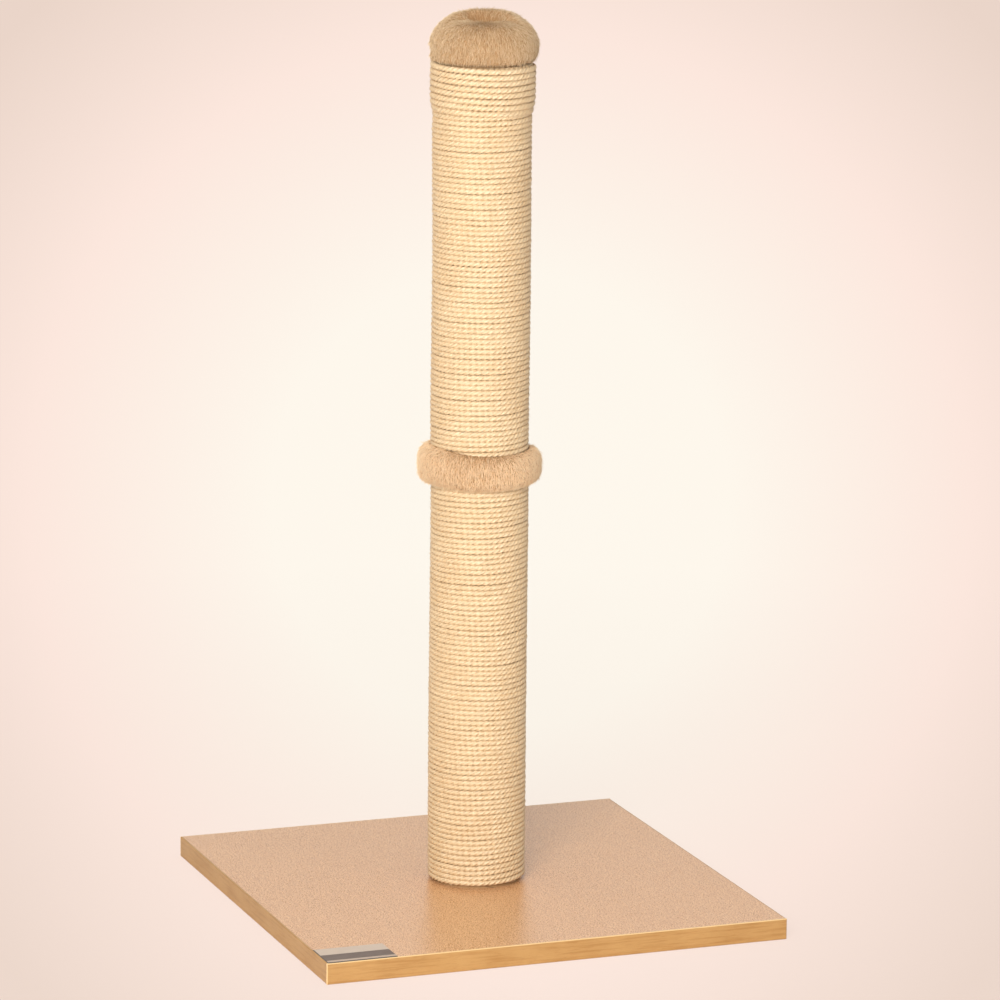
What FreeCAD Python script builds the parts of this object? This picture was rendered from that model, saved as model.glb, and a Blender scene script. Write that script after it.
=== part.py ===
"""Cat scratching post, in millimetres: a square board, and on it a post of two rope-wound
cardboard tubes, with a plush ring where they meet and a plush dome on top.

+Z is up, the origin is the centre of the board's underside, and the board's front edge
faces -Y. Heights build up from the floor: board, lower tube, collar disc, upper tube, cap.
"""

import FreeCAD, Part
import math
import os

# Board
base_side = 500.0
base_thickness = 22.0
band_thickness = 2.0
band_round = 1.3
label_length = 74.0
label_width = 48.0
label_thickness = 0.3
label_inset = 1.6

# Tubes and the rope on them
tube_radius = 46.0
tube_wall = 5.0
lower_tube_length = 438.0
upper_tube_length = 415.0
rope_thickness = 5.2
rope_pitch = 5.4
overwrap_pitch = 6.3
overwrap_half_turns = 15    # second layer under the cap
overwrap_rise = 3.6         # how far it stands out over the first layer
lower_loops = 9             # turns made one by one; the rest is a plain sleeve
upper_loops = 3             # first-layer turns before the second layer starts
turn_side = 4.85            # each such turn is a tube with three flat sides

# End plugs and the nuts let into them
plug_thickness = 16.0
nut_thickness = 6.5
hex_across_flats = 13.0

# M8 fasteners
thread_radius = 4.0
hex_head = 5.3
washer_radius = 8.0
washer_thickness = 1.6
counterbore_radius = 11.0
counterbore_depth = 9.0
base_bolt_length = 30.0
stud_length = 47.0
cap_bolt_length = 32.0

# Collar between the tubes
collar_disc_thickness = 15.0
collar_reach = 13.0         # how far the plush bulges out from the rope
collar_height = 39.0
collar_fullness = 0.83      # 1 is an ellipse, less is squarer
collar_foam = 8.0
collar_foam_height = 24.0

# Cap
cap_disc_thickness = 12.0
cap_reach = 5.5             # how far the dome bulges out from the rope
cap_brow = 17.0             # widest level, above the upper tube's end
cap_height = 51.0           # crest, above the upper tube's end
cap_skirt = 16.0            # from the widest level down to the hem
cap_fullness = 1.15
crest_radius = 13.0
dimple_radius = 8.6
dimple_lip = 8.0            # from the crest down to the dimple's straight wall
plush_floor = 2.0           # plush under the cap's washer
cap_foam_height = 25.0
cap_foam_shoulder = 12.0

# Clearances
soft_gap = 0.3              # between soft pieces and what they surround
fit_gap = 0.1               # round plugs, nuts and threads
hole_gap = 0.5              # radial, round a fastener that passes through
flats = 32                  # flats round each soft ring

rope_inner = tube_radius + soft_gap
rope_outer = rope_inner + rope_thickness
overwrap_inner = rope_inner + overwrap_rise
disc_radius = rope_outer
cap_radius = rope_outer + cap_reach
plug_radius = tube_radius - tube_wall - fit_gap

lower_foot = base_thickness
lower_head = lower_foot + lower_tube_length
upper_foot = lower_head + collar_disc_thickness
upper_head = upper_foot + upper_tube_length
cap_seat = upper_head + cap_disc_thickness
collar_middle = (lower_head + upper_foot) / 2

Vector = FreeCAD.Vector
UP = Vector(0, 0, 1)


def rod(radius, bottom, top):
    """Round bar on the post's axis."""
    return Part.makeCylinder(radius, top - bottom, Vector(0, 0, bottom))


def pipe(outer, inner, bottom, top):
    """Round bar on the post's axis with a bore right through."""
    return rod(outer, bottom, top).cut(rod(inner, bottom, top))


def block(low, high):
    """Box between two opposite corners."""
    size = Vector(*high) - Vector(*low)
    return Part.makeBox(size.x, size.y, size.z, Vector(*low))


def save(name, shape):
    shape.exportStep("parts/" + name + ".step")


# ---------------------------------------------------------------- board


def base_board():
    half = base_side / 2 - band_thickness
    board = block((-half, -half, 0), (half, half, base_thickness))
    board = board.cut(rod(counterbore_radius, 0, counterbore_depth))
    return board.cut(rod(thread_radius + hole_gap, 0, base_thickness))


def edge_band(half_length, rounded_ends):
    """Strip along the front edge, from one end to the other, with its outer edges rounded."""
    front = -base_side / 2
    band = block((-half_length, front, 0), (half_length, front + band_thickness, base_thickness))
    outer = []
    for edge in band.Edges:
        lies_in_front = all(abs(v.Y - front) < 1e-6 for v in edge.Vertexes)
        upright = abs(edge.tangentAt(edge.FirstParameter).z) > 0.5
        if lies_in_front and (rounded_ends or not upright):
            outer.append(edge)
    return band.makeFillet(min(band_round, 0.9 * band_thickness), outer)


def edge_bands():
    """Front and back bands run corner to corner; the side bands lie between them."""
    long_half = base_side / 2
    short_half = base_side / 2 - band_thickness
    sides = (
        ("front", 0, long_half, True),
        ("right", 90, short_half, False),
        ("back", 180, long_half, True),
        ("left", 270, short_half, False),
    )
    for side, angle, half_length, rounded_ends in sides:
        band = edge_band(half_length, rounded_ends)
        band.rotate(Vector(0, 0, 0), UP, angle)
        save("edge_band_" + side, band)


def base_label():
    """Blank sticker on the board's front left corner."""
    left = -base_side / 2 + label_inset
    low = (left, left, base_thickness)
    high = (left + label_length, left + label_width, base_thickness + label_thickness)
    return block(low, high)


# ---------------------------------------------------------------- tubes, plugs and fasteners


def hexagon(across_flats, bottom, top):
    """Six-sided bar on the post's axis."""
    corner = across_flats / 2 / math.cos(math.pi / 6)
    angles = [math.pi / 3 * k for k in range(6)]
    ring = [Vector(corner * math.cos(a), corner * math.sin(a), bottom) for a in angles]
    return Part.Face(Part.makePolygon(ring + ring[:1])).extrude(UP * (top - bottom))


def end_plug(low, nut_above):
    """Disc in a tube's end, with a hexagon pocket for the nut on the side that faces the tube."""
    high = low + plug_thickness
    pocket = nut_thickness + fit_gap
    pocket_low = high - pocket if nut_above else low
    plug = pipe(plug_radius, thread_radius + hole_gap, low, high)
    return plug.cut(hexagon(hex_across_flats + fit_gap, pocket_low, pocket_low + pocket))


def end_nut(low, nut_above):
    """Hexagon nut that the pocket's floor holds when the post is screwed together."""
    nut_low = low + plug_thickness - nut_thickness if nut_above else low
    nut = hexagon(hex_across_flats, nut_low, nut_low + nut_thickness)
    return nut.cut(rod(thread_radius + fit_gap, nut_low, nut_low + nut_thickness))


def tube_ends():
    """Each plug's underside, and whether its nut lies on top."""
    ends = []
    for foot, head in ((lower_foot, lower_head), (upper_foot, upper_head)):
        ends += [(foot, True), (head - plug_thickness, False)]
    return ends


def washer(bottom):
    return pipe(washer_radius, thread_radius + fit_gap, bottom, bottom + washer_thickness)


def hex_bolt(under_head, way, length):
    """Bolt whose shank leaves its head along way, +1 up or -1 down."""
    head = hexagon(hex_across_flats, *sorted((under_head, under_head - way * hex_head)))
    return head.fuse(rod(thread_radius, *sorted((under_head, under_head + way * length))))


# ---------------------------------------------------------------- soft rings


def soft_ring(outline):
    """Closed outline of (r, z) points carried round the post's axis in equal flats."""
    step = 2 * math.pi / flats
    faces = []
    for (r1, z1), (r2, z2) in zip(outline, outline[1:] + outline[:1]):
        for k in range(flats):
            quad = []
            for r, z, turn in ((r1, z1, k), (r2, z2, k), (r2, z2, k + 1), (r1, z1, k + 1)):
                angle = step * (turn % flats)
                corner = r / math.cos(step / 2)
                quad.append(Vector(corner * math.cos(angle), corner * math.sin(angle), z))
            faces.append(Part.Face(Part.makePolygon(quad + quad[:1])))
    solid = Part.makeSolid(Part.makeShell(faces))
    if solid.Volume < 0:
        solid.reverse()
    return solid.removeSplitter()


def soft_pipe(outer, inner, bottom, top):
    return soft_ring([(inner, bottom), (outer, bottom), (outer, top), (inner, top)])


# ---------------------------------------------------------------- rope


class Winding:
    """Rope path by half turns: each station is (turns so far, radius, height, rise per turn)."""

    def __init__(self, radius, height, rise):
        self.stations = [(0.0, radius, height, rise)]

    def wind(self, half_turns, radius, rise):
        """Add half turns; the first of them also climbs or widens to the new radius and rise."""
        for _ in range(half_turns):
            turns, _, height, last_rise = self.stations[-1]
            self.stations.append((turns + 0.5, radius, height + (last_rise + rise) / 4, rise))

    def raise_by(self, lift):
        self.stations = [(t, radius, height + lift, rise) for t, radius, height, rise in self.stations]

    def bottom(self):
        return self.stations[0][2]

    def top(self):
        return self.stations[-1][2]

    def points(self):
        """Each station's place and direction."""
        found = []
        for turns, radius, height, rise in self.stations:
            angle = 2 * math.pi * turns
            place = Vector(radius * math.cos(angle), radius * math.sin(angle), height)
            way = Vector(-math.sin(angle) * radius, math.cos(angle) * radius, rise / (2 * math.pi))
            found.append((place, way.normalize()))
        return found


def tangent_arc(start, way, end):
    """Arc that leaves start along way and ends at end."""
    chord = end - start
    side = way.cross(chord).cross(way).normalize()
    radius = chord.dot(chord) / (2 * chord.dot(side))
    centre = start + side * radius
    halfway = ((start + end) * 0.5 - centre).normalize()
    return Part.Arc(start, centre + halfway * radius, end).toShape()


def biarc(start, start_way, end, end_way):
    """Two arcs that join smoothly halfway."""
    chord = end - start
    ways = start_way + end_way
    a = 2 * (1 - start_way.dot(end_way))
    b = 2 * chord.dot(ways)
    c = chord.dot(chord)
    reach = (math.sqrt(b * b + 4 * a * c) - b) / (2 * a)
    before = start + start_way * reach
    after = end - end_way * reach
    middle = (before + after) * 0.5
    middle_way = (after - before).normalize()
    return [tangent_arc(start, start_way, middle), tangent_arc(middle, middle_way, end)]


def turn_section(place, way):
    """Three-sided section of one turn, square to the path, with a corner facing outwards."""
    out = Vector(place.x, place.y, 0).normalize()
    along = way.cross(out).normalize()
    reach = turn_side / math.sqrt(3)
    angles = [2 * math.pi / 3 * k for k in range(3)]
    return [place + out * (reach * math.cos(a)) + along * (reach * math.sin(a)) for a in angles]


def rope_tube(winding):
    """One unbroken tube along the winding, and the least gap between its turns."""
    points = winding.points()
    arcs = []
    for (start, start_way), (end, end_way) in zip(points, points[1:]):
        arcs += biarc(start, start_way, end, end_way)
    section = turn_section(*points[0])
    shell = Part.BRepOffsetAPI.MakePipeShell(Part.Wire(arcs))
    shell.add(Part.makePolygon(section + section[:1]))
    shell.build()
    shell.makeSolid()
    return shell.shape(), least_gap(section, arcs)


def least_gap(section, arcs):
    """Smallest distance between points of the section that lie more than half a turn apart."""
    steps = 4
    turn = 4 * steps
    outline = []
    for corner, following in zip(section, section[1:] + section[:1]):
        outline += [corner, corner + (following - corner) / 3, corner + (following - corner) * 2 / 3]
    rings = []
    for arc in arcs:
        centre, axis = arc.Curve.Center, arc.Curve.Axis
        sweep = math.degrees(arc.LastParameter - arc.FirstParameter)
        for step in range(1, steps + 1):
            swing = FreeCAD.Rotation(axis, sweep * step / steps)
            rings.append([tuple(centre + swing.multVec(p - centre)) for p in outline])
        outline = [Vector(*p) for p in rings[-1]]
    gap = rope_pitch
    for i, ring in enumerate(rings):
        for other in rings[i + turn // 2 + 1 : i + 2 * turn]:
            gap = min(gap, min(math.dist(p, q) for p in ring for q in other))
    return gap


def turn_path_radius(inner):
    """Path radius at which a three-sided turn clears what lies inside it, however it is turned."""
    return inner + turn_side / math.sqrt(3)


def lower_rope():
    """Turns one by one from the board up, then a sleeve as thick as the rest of the turns."""
    radius = turn_path_radius(rope_inner)
    winding = Winding(radius, lower_foot + soft_gap + rope_pitch / 2, rope_pitch)
    winding.wind(2 * lower_loops, radius, rope_pitch)
    coil, gap = rope_tube(winding)
    print("lower rope: least gap between turns", round(gap, 3), "mm")
    sleeve_foot = winding.top() + rope_pitch / 2 + soft_gap
    sleeve = soft_pipe(rope_outer, rope_inner, sleeve_foot, lower_head - soft_gap)
    return Part.makeCompound([coil, sleeve])


def upper_rope():
    """Sleeve of first-layer turns, then turns one by one that climb on to a second layer."""
    radius = turn_path_radius(rope_inner)
    outer_radius = turn_path_radius(overwrap_inner)
    winding = Winding(radius, 0, rope_pitch)
    winding.wind(2 * upper_loops, radius, rope_pitch)
    climb_foot = winding.top()
    winding.wind(1 + overwrap_half_turns, outer_radius, overwrap_pitch)
    winding.raise_by(upper_head - soft_gap - rope_pitch / 2 - winding.top())
    coil, gap = rope_tube(winding)
    print("upper rope: least gap between turns", round(gap, 3), "mm")
    start = winding.bottom()
    sleeve_head = start - rope_pitch / 2 - soft_gap
    sleeve = soft_pipe(rope_outer, rope_inner, upper_foot + soft_gap, sleeve_head)
    core_foot = start + climb_foot + rope_pitch / 2 + overwrap_pitch / 2 + soft_gap
    core = soft_pipe(overwrap_inner - soft_gap, rope_inner, core_foot, upper_head - soft_gap)
    return Part.makeCompound([sleeve, coil, core])


# ---------------------------------------------------------------- plush and foam


def quarter_bulge(widest, crest, fullness, steps):
    """Points (r, z) on a rounded quarter from the widest place to the crest."""
    reach, rise = widest[0] - crest[0], crest[1] - widest[1]
    angles = [math.pi / 2 * k / steps for k in range(1, steps)]
    between = [
        (crest[0] + reach * math.cos(a) ** fullness, widest[1] + rise * math.sin(a) ** fullness)
        for a in angles
    ]
    return [widest, *between, crest]


def collar_padding():
    inner = disc_radius + soft_gap
    bottom = collar_middle - collar_foam_height / 2
    return soft_pipe(inner + collar_foam, inner, bottom, bottom + collar_foam_height)


def collar_plush():
    """Bulging ring with a pocket for the foam, open towards the post."""
    inner = rope_outer + soft_gap
    pocket = inner + collar_foam + soft_gap
    pocket_half = collar_foam_height / 2 + soft_gap
    upper = quarter_bulge((inner + collar_reach, 0), (inner, collar_height / 2), collar_fullness, 4)
    lower = [(r, -z) for r, z in reversed(upper[1:])]
    outline = [(inner, -pocket_half), *lower, *upper, (inner, pocket_half)]
    outline += [(pocket, pocket_half), (pocket, -pocket_half)]
    return soft_ring([(r, collar_middle + z) for r, z in outline])


def cap_foam_outline(slack):
    """Foam ring on the cap's disc, its shoulder sloping in."""
    inner = dimple_radius + plush_floor - slack
    outer = disc_radius - soft_gap + slack
    top = cap_seat + cap_foam_height + slack
    shoulder = top - cap_foam_shoulder
    inset = outer - cap_foam_shoulder
    return [(inner, cap_seat), (inner, top), (inset, top), (outer, shoulder), (outer, cap_seat)]


def cap_plush():
    """Dome over the foam and the disc's rim, drawn down in the middle under the washer."""
    brow = upper_head + cap_brow
    crest = upper_head + cap_height
    rim = disc_radius + soft_gap
    hole = thread_radius + hole_gap
    floor = cap_seat + plush_floor
    skirt = quarter_bulge((cap_radius, -brow), (rim, cap_skirt - brow), 1, 2)
    outline = [(r, -z) for r, z in reversed(skirt[1:])]
    outline += quarter_bulge((cap_radius, brow), (crest_radius, crest), cap_fullness, 5)
    outline += [(dimple_radius, crest - dimple_lip), (dimple_radius, floor), (hole, floor), (hole, cap_seat)]
    outline += cap_foam_outline(soft_gap)
    outline += [(rim, cap_seat)]
    return soft_ring(outline)


def main():
    os.makedirs("parts", exist_ok=True)
    save("base_board", base_board())
    edge_bands()
    save("base_label", base_label())
    save("lower_tube", pipe(tube_radius, tube_radius - tube_wall, lower_foot, lower_head))
    save("upper_tube", pipe(tube_radius, tube_radius - tube_wall, upper_foot, upper_head))
    ends = tube_ends()
    save("lower_tube_plugs", Part.makeCompound([end_plug(*end) for end in ends[:2]]))
    save("upper_tube_plugs", Part.makeCompound([end_plug(*end) for end in ends[2:]]))
    save("end_nuts", Part.makeCompound([end_nut(*end) for end in ends]))
    save("lower_rope", lower_rope())
    save("upper_rope", upper_rope())
    save("collar_disc", pipe(disc_radius, thread_radius + hole_gap, lower_head, upper_foot))
    save("collar_padding", collar_padding())
    save("collar_plush", collar_plush())
    save("cap_disc", pipe(disc_radius, thread_radius + hole_gap, upper_head, cap_seat))
    save("cap_padding", soft_ring(cap_foam_outline(0)))
    save("cap_plush", cap_plush())
    half_stud = stud_length / 2
    save("joining_stud", rod(thread_radius, collar_middle - half_stud, collar_middle + half_stud))
    base_washer = counterbore_depth - washer_thickness
    cap_washer = cap_seat + plush_floor
    save("washers", Part.makeCompound([washer(base_washer), washer(cap_washer)]))
    save("base_bolt", hex_bolt(base_washer, 1, base_bolt_length))
    save("cap_bolt", hex_bolt(cap_washer + washer_thickness, -1, cap_bolt_length))


main()
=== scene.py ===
# %% [markdown]
# # A cat scratching post, dressed in Blender
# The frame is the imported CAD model: a square board, and on it a post of two cardboard tubes
# wound with sisal rope, a plush collar where the tubes meet and a plush dome on top. CAD gave
# the sizes. Here the rope gets its strands, the plush its pile and the board its finish.

# %% Load the frame
import math

import bpy
import numpy as np
from mathutils import Euler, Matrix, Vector


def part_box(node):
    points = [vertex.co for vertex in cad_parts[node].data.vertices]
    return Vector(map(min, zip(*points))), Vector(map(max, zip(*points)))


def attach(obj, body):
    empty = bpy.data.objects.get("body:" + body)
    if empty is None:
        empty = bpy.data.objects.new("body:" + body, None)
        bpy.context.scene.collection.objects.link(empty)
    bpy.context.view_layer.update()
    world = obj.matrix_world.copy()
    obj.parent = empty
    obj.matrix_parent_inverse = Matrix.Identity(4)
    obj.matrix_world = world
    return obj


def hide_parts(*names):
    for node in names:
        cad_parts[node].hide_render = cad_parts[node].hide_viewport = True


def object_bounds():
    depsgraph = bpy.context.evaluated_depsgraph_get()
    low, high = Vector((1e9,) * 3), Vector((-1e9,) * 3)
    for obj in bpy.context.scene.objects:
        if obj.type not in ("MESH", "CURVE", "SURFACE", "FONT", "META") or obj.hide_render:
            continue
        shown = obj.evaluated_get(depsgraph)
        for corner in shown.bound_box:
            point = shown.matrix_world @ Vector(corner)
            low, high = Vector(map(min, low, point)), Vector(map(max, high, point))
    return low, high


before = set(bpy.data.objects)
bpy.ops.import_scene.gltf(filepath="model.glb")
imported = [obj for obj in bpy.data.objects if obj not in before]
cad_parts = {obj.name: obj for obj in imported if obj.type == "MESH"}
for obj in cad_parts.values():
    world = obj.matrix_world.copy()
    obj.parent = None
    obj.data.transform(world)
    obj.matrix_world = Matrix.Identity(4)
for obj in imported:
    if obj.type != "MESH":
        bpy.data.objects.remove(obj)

cad_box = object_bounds()
scene = bpy.context.scene
print("frame:", len(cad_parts), "nodes, box", [tuple(round(c, 3) for c in p) for p in cad_box])

# %% [markdown]
# ## Measures
# Everything is in metres, and the places come from the frame's own boxes, so that each piece
# sits where the CAD says. MM turns a maker's millimetres into metres. The eye is where the
# photograph was taken from, and away_angle points from there to the far side of the post. A turn
# of rope is rope_squash times as tall as it is deep, so that it meets the next with no gap.

# %% Measures
MM = 0.001


def low_high(node):
    """Lowest and highest level of a CAD node."""
    low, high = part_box(node)
    return low.z, high.z


lower_foot, lower_head = low_high("lower_tube")
upper_foot, upper_head = low_high("upper_tube")
board_half = cad_box[1].x
board_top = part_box("base_board")[1].z
tube_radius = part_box("lower_tube")[1].x
eye = Vector((-1.8953, -5.1402, 1.5917))
away_angle = math.atan2(-eye.y, -eye.x)
rope_thickness = 5.5 * MM
rope_squash = 1.16
rope_pitch = 5.4 * MM
print("tubes:", round(lower_foot, 4), round(lower_head, 4), round(upper_foot, 4), round(upper_head, 4))

# %% [markdown]
# ## Helpers
# show() links a new object to the scene, and evaluated() gives it with its modifiers at work.
# A node tree reads more easily when one line makes one node. add() makes a node, sets its
# options and either sets or links its inputs. calc() is one step of arithmetic, split() and
# join() take a vector apart and put one together, and tint() and glaze() mix colours.

# %% Helpers for objects
def show(name, data):
    """New object for a mesh, a lamp or a camera, linked to the scene."""
    shown = bpy.data.objects.new(name, data)
    scene.collection.objects.link(shown)
    return shown


def evaluated(shown):
    bpy.context.view_layer.update()
    return shown.evaluated_get(bpy.context.evaluated_depsgraph_get())


# %% Helpers for node trees
def add(tree, kind, inputs=None, **options):
    """New node. An input that is itself a socket is linked, and any other value is set."""
    node = tree.nodes.new(kind)
    for name, value in options.items():
        setattr(node, name, value)
    for key, value in (inputs or {}).items():
        if isinstance(value, bpy.types.NodeSocket):
            tree.links.new(value, node.inputs[key])
        else:
            node.inputs[key].default_value = value
    return node


def calc(tree, operation, *values):
    return add(tree, "ShaderNodeMath", dict(enumerate(values)), operation=operation).outputs[0]


def vector_calc(tree, operation, *values):
    node = add(tree, "ShaderNodeVectorMath", dict(enumerate(values)), operation=operation)
    return node.outputs["Value" if operation in ("DOT_PRODUCT", "LENGTH") else "Vector"]


def scaled(tree, vector, factor):
    node = add(tree, "ShaderNodeVectorMath", {0: vector, "Scale": factor}, operation="SCALE")
    return node.outputs["Vector"]


def split(tree, vector):
    """The sockets X, Y and Z of a vector."""
    return add(tree, "ShaderNodeSeparateXYZ", {0: vector}).outputs


def join(tree, x=0.0, y=0.0, z=0.0):
    return add(tree, "ShaderNodeCombineXYZ", {0: x, 1: y, 2: z}).outputs[0]


def tint(tree, factor, first, second):
    """Mixes two colours, which a Mix node takes in its sockets 6 and 7."""
    return add(tree, "ShaderNodeMix", {0: factor, 6: first, 7: second}, data_type="RGBA").outputs[2]


def glaze(tree, colour, mask, share, over):
    """Lays a paint over a colour. Where the mask is 1, this share of the paint shows."""
    return tint(tree, calc(tree, "MULTIPLY", mask, share), colour, paint(*over))


def spread(tree, value, low, high, new_low=0.0, new_high=1.0):
    """Stretches low to high over new_low to new_high, and stops there."""
    inputs = {0: value, 1: low, 2: high, 3: new_low, 4: new_high}
    return add(tree, "ShaderNodeMapRange", inputs).outputs[0]


def noise(tree, vector, scale, detail, **settings):
    """Outputs of a noise texture: a value first, and a colour of three separate values."""
    inputs = {"Vector": vector, "Scale": scale, "Detail": detail, **settings}
    return add(tree, "ShaderNodeTexNoise", inputs).outputs


def paint(red, green, blue):
    """Colour as a paint chart gives it, 0 to 255, made linear for the shader."""
    def straight(level):
        level /= 255
        return level / 12.92 if level <= 0.04045 else ((level + 0.055) / 1.055) ** 2.4

    return (straight(red), straight(green), straight(blue), 1.0)


def new_tree(name, kind, inputs, outputs):
    """Node group with named inputs (name, type, value) and outputs (name, type)."""
    tree = bpy.data.node_groups.new(name, kind)
    for label, socket_type, value in inputs:
        socket = tree.interface.new_socket(name=label, in_out="INPUT", socket_type=socket_type)
        if value is not None:
            socket.default_value = value
    for label, socket_type in outputs:
        tree.interface.new_socket(name=label, in_out="OUTPUT", socket_type=socket_type)
    return tree, add(tree, "NodeGroupInput"), add(tree, "NodeGroupOutput")


def finish_output(tree, output, **sockets):
    for name, socket in sockets.items():
        tree.links.new(socket, output.inputs[name])


print("helpers ready")

# %% [markdown]
# ## Effects that several finishes share
# Three small shader groups: a soft mottle for the slow change of tone that most surfaces have,
# flecks drawn out along a grain for decor, board and cloth, and fibre streaks for the strands of
# the rope. Each puts out a mask, and each material decides what the mask does. Noise is used
# between two levels that it seldom leaves.

# %% Soft mottle
FLOAT, VECTOR = "NodeSocketFloat", "NodeSocketVector"
NOISE_LOW, NOISE_HIGH = 0.3, 0.7

mottle, source, result = new_tree(
    "Soft mottle", "ShaderNodeTree",
    [("Vector", VECTOR, None), ("Patch size", FLOAT, 50 * MM)], [("Mask", FLOAT)],
)
scale = calc(mottle, "DIVIDE", 1.0, source.outputs["Patch size"])
patches = noise(mottle, source.outputs["Vector"], scale, 2.0)[0]
finish_output(mottle, result, Mask=spread(mottle, patches, NOISE_LOW, NOISE_HIGH))
print("group:", mottle.name, "| noise used from", NOISE_LOW, "to", NOISE_HIGH)

# %% Fleck grain
flecks, source, result = new_tree(
    "Fleck grain", "ShaderNodeTree",
    [("Vector", VECTOR, None), ("Length", FLOAT, 20 * MM), ("Width", FLOAT, 1 * MM),
     ("Share", FLOAT, 0.4)],
    [("Mask", FLOAT)],
)
place = split(flecks, source.outputs["Vector"])
length, width = source.outputs["Length"], source.outputs["Width"]
stretched = join(flecks, calc(flecks, "DIVIDE", place["X"], length),
                 calc(flecks, "DIVIDE", place["Y"], width), calc(flecks, "DIVIDE", place["Z"], width))
strokes = noise(flecks, stretched, 1.0, 3.0)[0]

# The larger the share of the surface, the lower the noise level at which a fleck starts.
start = calc(flecks, "SUBTRACT", 0.75, calc(flecks, "MULTIPLY", source.outputs["Share"], 0.5))
soft_edge = 0.14
end = calc(flecks, "ADD", start, soft_edge)
finish_output(flecks, result, Mask=spread(flecks, strokes, start, end))
print("group:", flecks.name)

# %% Fibre streaks
streaks, source, result = new_tree(
    "Fibre streaks", "ShaderNodeTree",
    [("Along", FLOAT, 0.0), ("Across", VECTOR, None), ("Fibre length", FLOAT, 20 * MM),
     ("Fineness", FLOAT, 4.0)],
    [("Mask", FLOAT)],
)
across = scaled(streaks, source.outputs["Across"], source.outputs["Fineness"])
run = calc(streaks, "DIVIDE", source.outputs["Along"], source.outputs["Fibre length"])
spot = vector_calc(streaks, "ADD", across, join(streaks, z=run))
fibres = noise(streaks, spot, 1.0, 3.0, Roughness=0.65)[0]
finish_output(streaks, result, Mask=spread(streaks, fibres, NOISE_LOW, NOISE_HIGH))
print("group:", streaks.name)


def use(tree, group, **inputs):
    """Places a shared group in a material, with its own values."""
    named = {name.replace("_", " "): value for name, value in inputs.items()}
    return add(tree, "ShaderNodeGroup", named, node_tree=group).outputs[0]


def new_finish(name, **settings):
    """Material with one Principled shader, its settings made, and the place on the piece."""
    material = bpy.data.materials.new(name)
    material.use_nodes = True
    tree = material.node_tree
    shader = tree.nodes["Principled BSDF"]
    for socket, value in settings.items():
        shader.inputs[socket.replace("_", " ")].default_value = value
    place = add(tree, "ShaderNodeTexCoord").outputs["Object"]
    return material, tree, shader, place


def relief(tree, shader, height, depth):
    """Bump from a height mask: depth is its full height in metres."""
    bump = add(tree, "ShaderNodeBump", {"Height": height, "Distance": depth})
    tree.links.new(bump.outputs[0], shader.inputs["Normal"])


def wear(tree, shader, colour, roughness=None):
    tree.links.new(colour, shader.inputs["Base Color"])
    if roughness is not None:
        tree.links.new(roughness, shader.inputs["Roughness"])


def colour_steps(tree, factor, steps, interpolation="LINEAR"):
    """Colour ramp: each step is a place from 0 to 1 and a paint. A new ramp already has two."""
    ramp = add(tree, "ShaderNodeValToRGB", {0: factor})
    ramp.color_ramp.interpolation = interpolation
    stops = ramp.color_ramp.elements
    for k, (at, colour) in enumerate(steps):
        stop = stops[k] if k < 2 else stops.new(at)
        stop.position, stop.color = at, paint(*colour)
    return ramp.outputs[0]


# %% [markdown]
# ## Board finishes
# The board is chipboard faced with a satin melamine decor in a warm beech tone. The decor has
# short fine flecks and a stipple that breaks the reflection up a little; the stipple's raised
# points are painted pale as glints. The edge bands are a plastic strip printed with a coarser,
# more golden grain that runs along each edge, and the front and back bands get a thin painted
# highlight along their top edge and left end.

# %% Melamine and edge bands
def melamine_finish():
    """Grain along Y, and an embossed speckle whose raised points are painted pale as glints."""
    material, tree, shader, place = new_finish("melamine_decor", IOR=1.62)
    along = add(tree, "ShaderNodeMapping", {"Vector": place, "Rotation": (0, 0, math.pi / 2)}).outputs[0]
    fine = use(tree, flecks, Vector=along, Length=16 * MM, Width=0.8 * MM, Share=0.62)
    pores = use(tree, flecks, Vector=along, Length=60 * MM, Width=1.2 * MM, Share=0.2)
    stipple = noise(tree, place, 780.0, 2.0)[0]
    patch = use(tree, mottle, Vector=place, Patch_size=120 * MM)
    colour = tint(tree, patch, paint(196, 139, 88), paint(202, 145, 94))
    colour = glaze(tree, colour, fine, 0.6, (172, 116, 68))
    colour = glaze(tree, colour, pores, 0.45, (166, 110, 64))
    # Painted highlight: the stipple's high points are tinted pale as glints; its bump and roughness are
    # real.
    colour = tint(tree, spread(tree, stipple, 0.44, 0.62, 0.0, 0.9), colour, paint(246, 206, 160))
    wear(tree, shader, colour, spread(tree, stipple, NOISE_LOW, NOISE_HIGH, 0.24, 0.38))
    relief(tree, shader, stipple, 0.16 * MM)
    return material


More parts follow.
